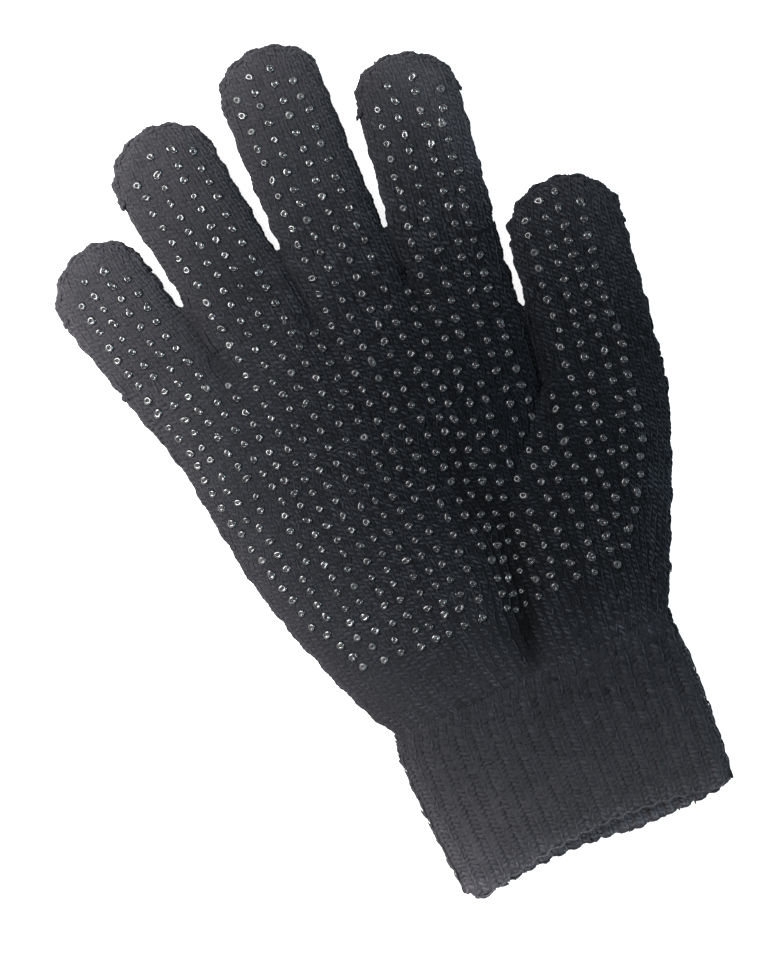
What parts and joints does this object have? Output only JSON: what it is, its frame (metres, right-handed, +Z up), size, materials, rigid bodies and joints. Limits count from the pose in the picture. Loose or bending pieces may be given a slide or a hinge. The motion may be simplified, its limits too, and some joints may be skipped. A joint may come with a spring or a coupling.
{
  "type": "knitted grip riding glove",
  "caption": "Flat knitted glove for the right hand, hollow, with closed fingers, a thumb on the side, a ribbed cuff and small grip dots all over the palm side.",
  "frame": {"origin": "middle of the glove's plan, on the surface that it lies on", "axes": "+X towards the thumb side, +Y towards the fingertips, +Z up, out of the palm: the glove lies on its back"},
  "size_m": [0.1397, 0.2179, 0.013],
  "materials": {
    "plain_knit": "soft matt plain knit, charcoal",
    "rib_knit": "soft matt ribbed knit, charcoal",
    "grip_dots": "glossy rubbery domes, black"
  },
  "bodies": {
    "root": {"palm_body": "plain_knit", "little_finger": "plain_knit", "ring_finger": "plain_knit", "middle_finger": "plain_knit", "index_finger": "plain_knit", "thumb": "plain_knit", "rib_cuff": "rib_knit"}
  },
  "joints": []
}
